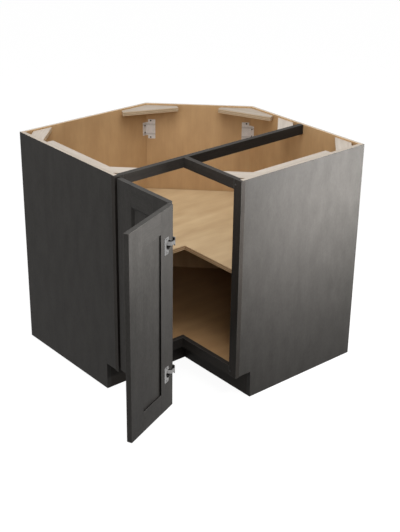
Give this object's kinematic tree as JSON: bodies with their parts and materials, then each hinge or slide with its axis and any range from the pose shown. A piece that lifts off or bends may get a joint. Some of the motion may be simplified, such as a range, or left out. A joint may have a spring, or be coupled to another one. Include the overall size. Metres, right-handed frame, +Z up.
{
  "type": "easy reach corner base cabinet",
  "caption": "L-shaped corner base cabinet with a diagonal back, an L-shaped shelf and a bi-fold shaker door that opens both legs at once.",
  "frame": {"origin": "the room corner on the floor, where both wall planes meet", "axes": "+Z up; the walls are the planes X=0 and Y=0, so +X and +Y point into the walls; the left leg's frame faces -Y, the right leg's faces -X"},
  "size_m": [1.1669, 1.0164, 0.8763],
  "materials": {
    "dark_finish": "charcoal stain, satin",
    "end_panel": "charcoal stain outside, clear maple inside, raw edges",
    "maple_panel": "clear coated maple plywood",
    "shelf_board": "clear coated maple plywood, veneer layers on its edge",
    "pale_wood": "raw pale hardwood",
    "zinc_bracket": "zinc plated",
    "dark_screw": "dark plated steel",
    "shelf_pin": "nickel plated",
    "bumper": "dark soft plastic",
    "nickel_hinge": "nickel plated, slightly dulled",
    "hinge_screw": "nickel plated"
  },
  "bodies": {
    "carcass": {"left_end_panel": "end_panel", "right_end_panel": "end_panel", "left_back_panel": "maple_panel", "right_back_panel": "maple_panel", "diagonal_back_panel": "maple_panel", "floor_panel": "maple_panel", "left_stile": "dark_finish", "right_stile": "dark_finish", "long_top_rail": "dark_finish", "right_top_rail": "dark_finish", "left_bottom_rail": "dark_finish", "right_bottom_rail": "dark_finish", "left_toe_kick": "dark_finish", "right_toe_kick": "dark_finish", "left_rear_block": "pale_wood", "right_rear_block": "pale_wood", "left_front_block": "pale_wood", "right_front_block": "pale_wood", "side_wall_block": "pale_wood", "left_wide_block": "pale_wood", "right_wide_block": "pale_wood", "left_top_cleat": "pale_wood", "right_top_cleat": "pale_wood", "left_corner_bracket": "zinc_bracket", "right_corner_bracket": "zinc_bracket", "bracket_screws": "dark_screw", "shelf_pins": "shelf_pin", "door_bumpers": "bumper", "upper_stile_hinge_arm": "nickel_hinge", "lower_stile_hinge_arm": "nickel_hinge", "stile_base_screws": "hinge_screw"},
    "shelf": {"shelf": "shelf_board"},
    "leaf_a": {"a_hinge_stile": "dark_finish", "a_fold_stile": "dark_finish", "a_top_rail": "dark_finish", "a_bottom_rail": "dark_finish", "a_panel": "dark_finish", "upper_stile_hinge_cup": "nickel_hinge", "lower_stile_hinge_cup": "nickel_hinge", "upper_fold_hinge_fork": "nickel_hinge", "lower_fold_hinge_fork": "nickel_hinge", "stile_hinge_pins": "nickel_hinge", "fold_hinge_pins": "nickel_hinge", "stile_cup_screws": "hinge_screw", "fork_screws": "hinge_screw"},
    "leaf_b": {"b_free_stile": "dark_finish", "b_fold_stile": "dark_finish", "b_top_rail": "dark_finish", "b_bottom_rail": "dark_finish", "b_panel": "dark_finish", "upper_fold_hinge_cup": "nickel_hinge", "lower_fold_hinge_cup": "nickel_hinge", "upper_fold_hinge_arm": "nickel_hinge", "lower_fold_hinge_arm": "nickel_hinge", "fold_cup_screws": "hinge_screw"}
  },
  "joints": [
    {"name": "door_swing", "type": "hinge", "parent": "carcass", "child": "leaf_a", "pos_m": [-0.9004, -0.6236, 0.492], "axis": [0, 0, -1], "range_deg": [-90, 18]},
    {"name": "leaf_fold", "type": "hinge", "parent": "leaf_a", "child": "leaf_b", "pos_m": [-0.9024, -0.8984, 0.492], "axis": [0, 0, 1], "range_deg": [-22, 4.4]},
    {"name": "shelf_lift", "type": "slide", "parent": "carcass", "child": "shelf", "axis": [0, 0, 1], "range_m": [0, 0.21]}
  ],
  "couplings": [
    {"joint": "leaf_fold", "follows": "door_swing", "ratio": 0.2444}
  ]
}
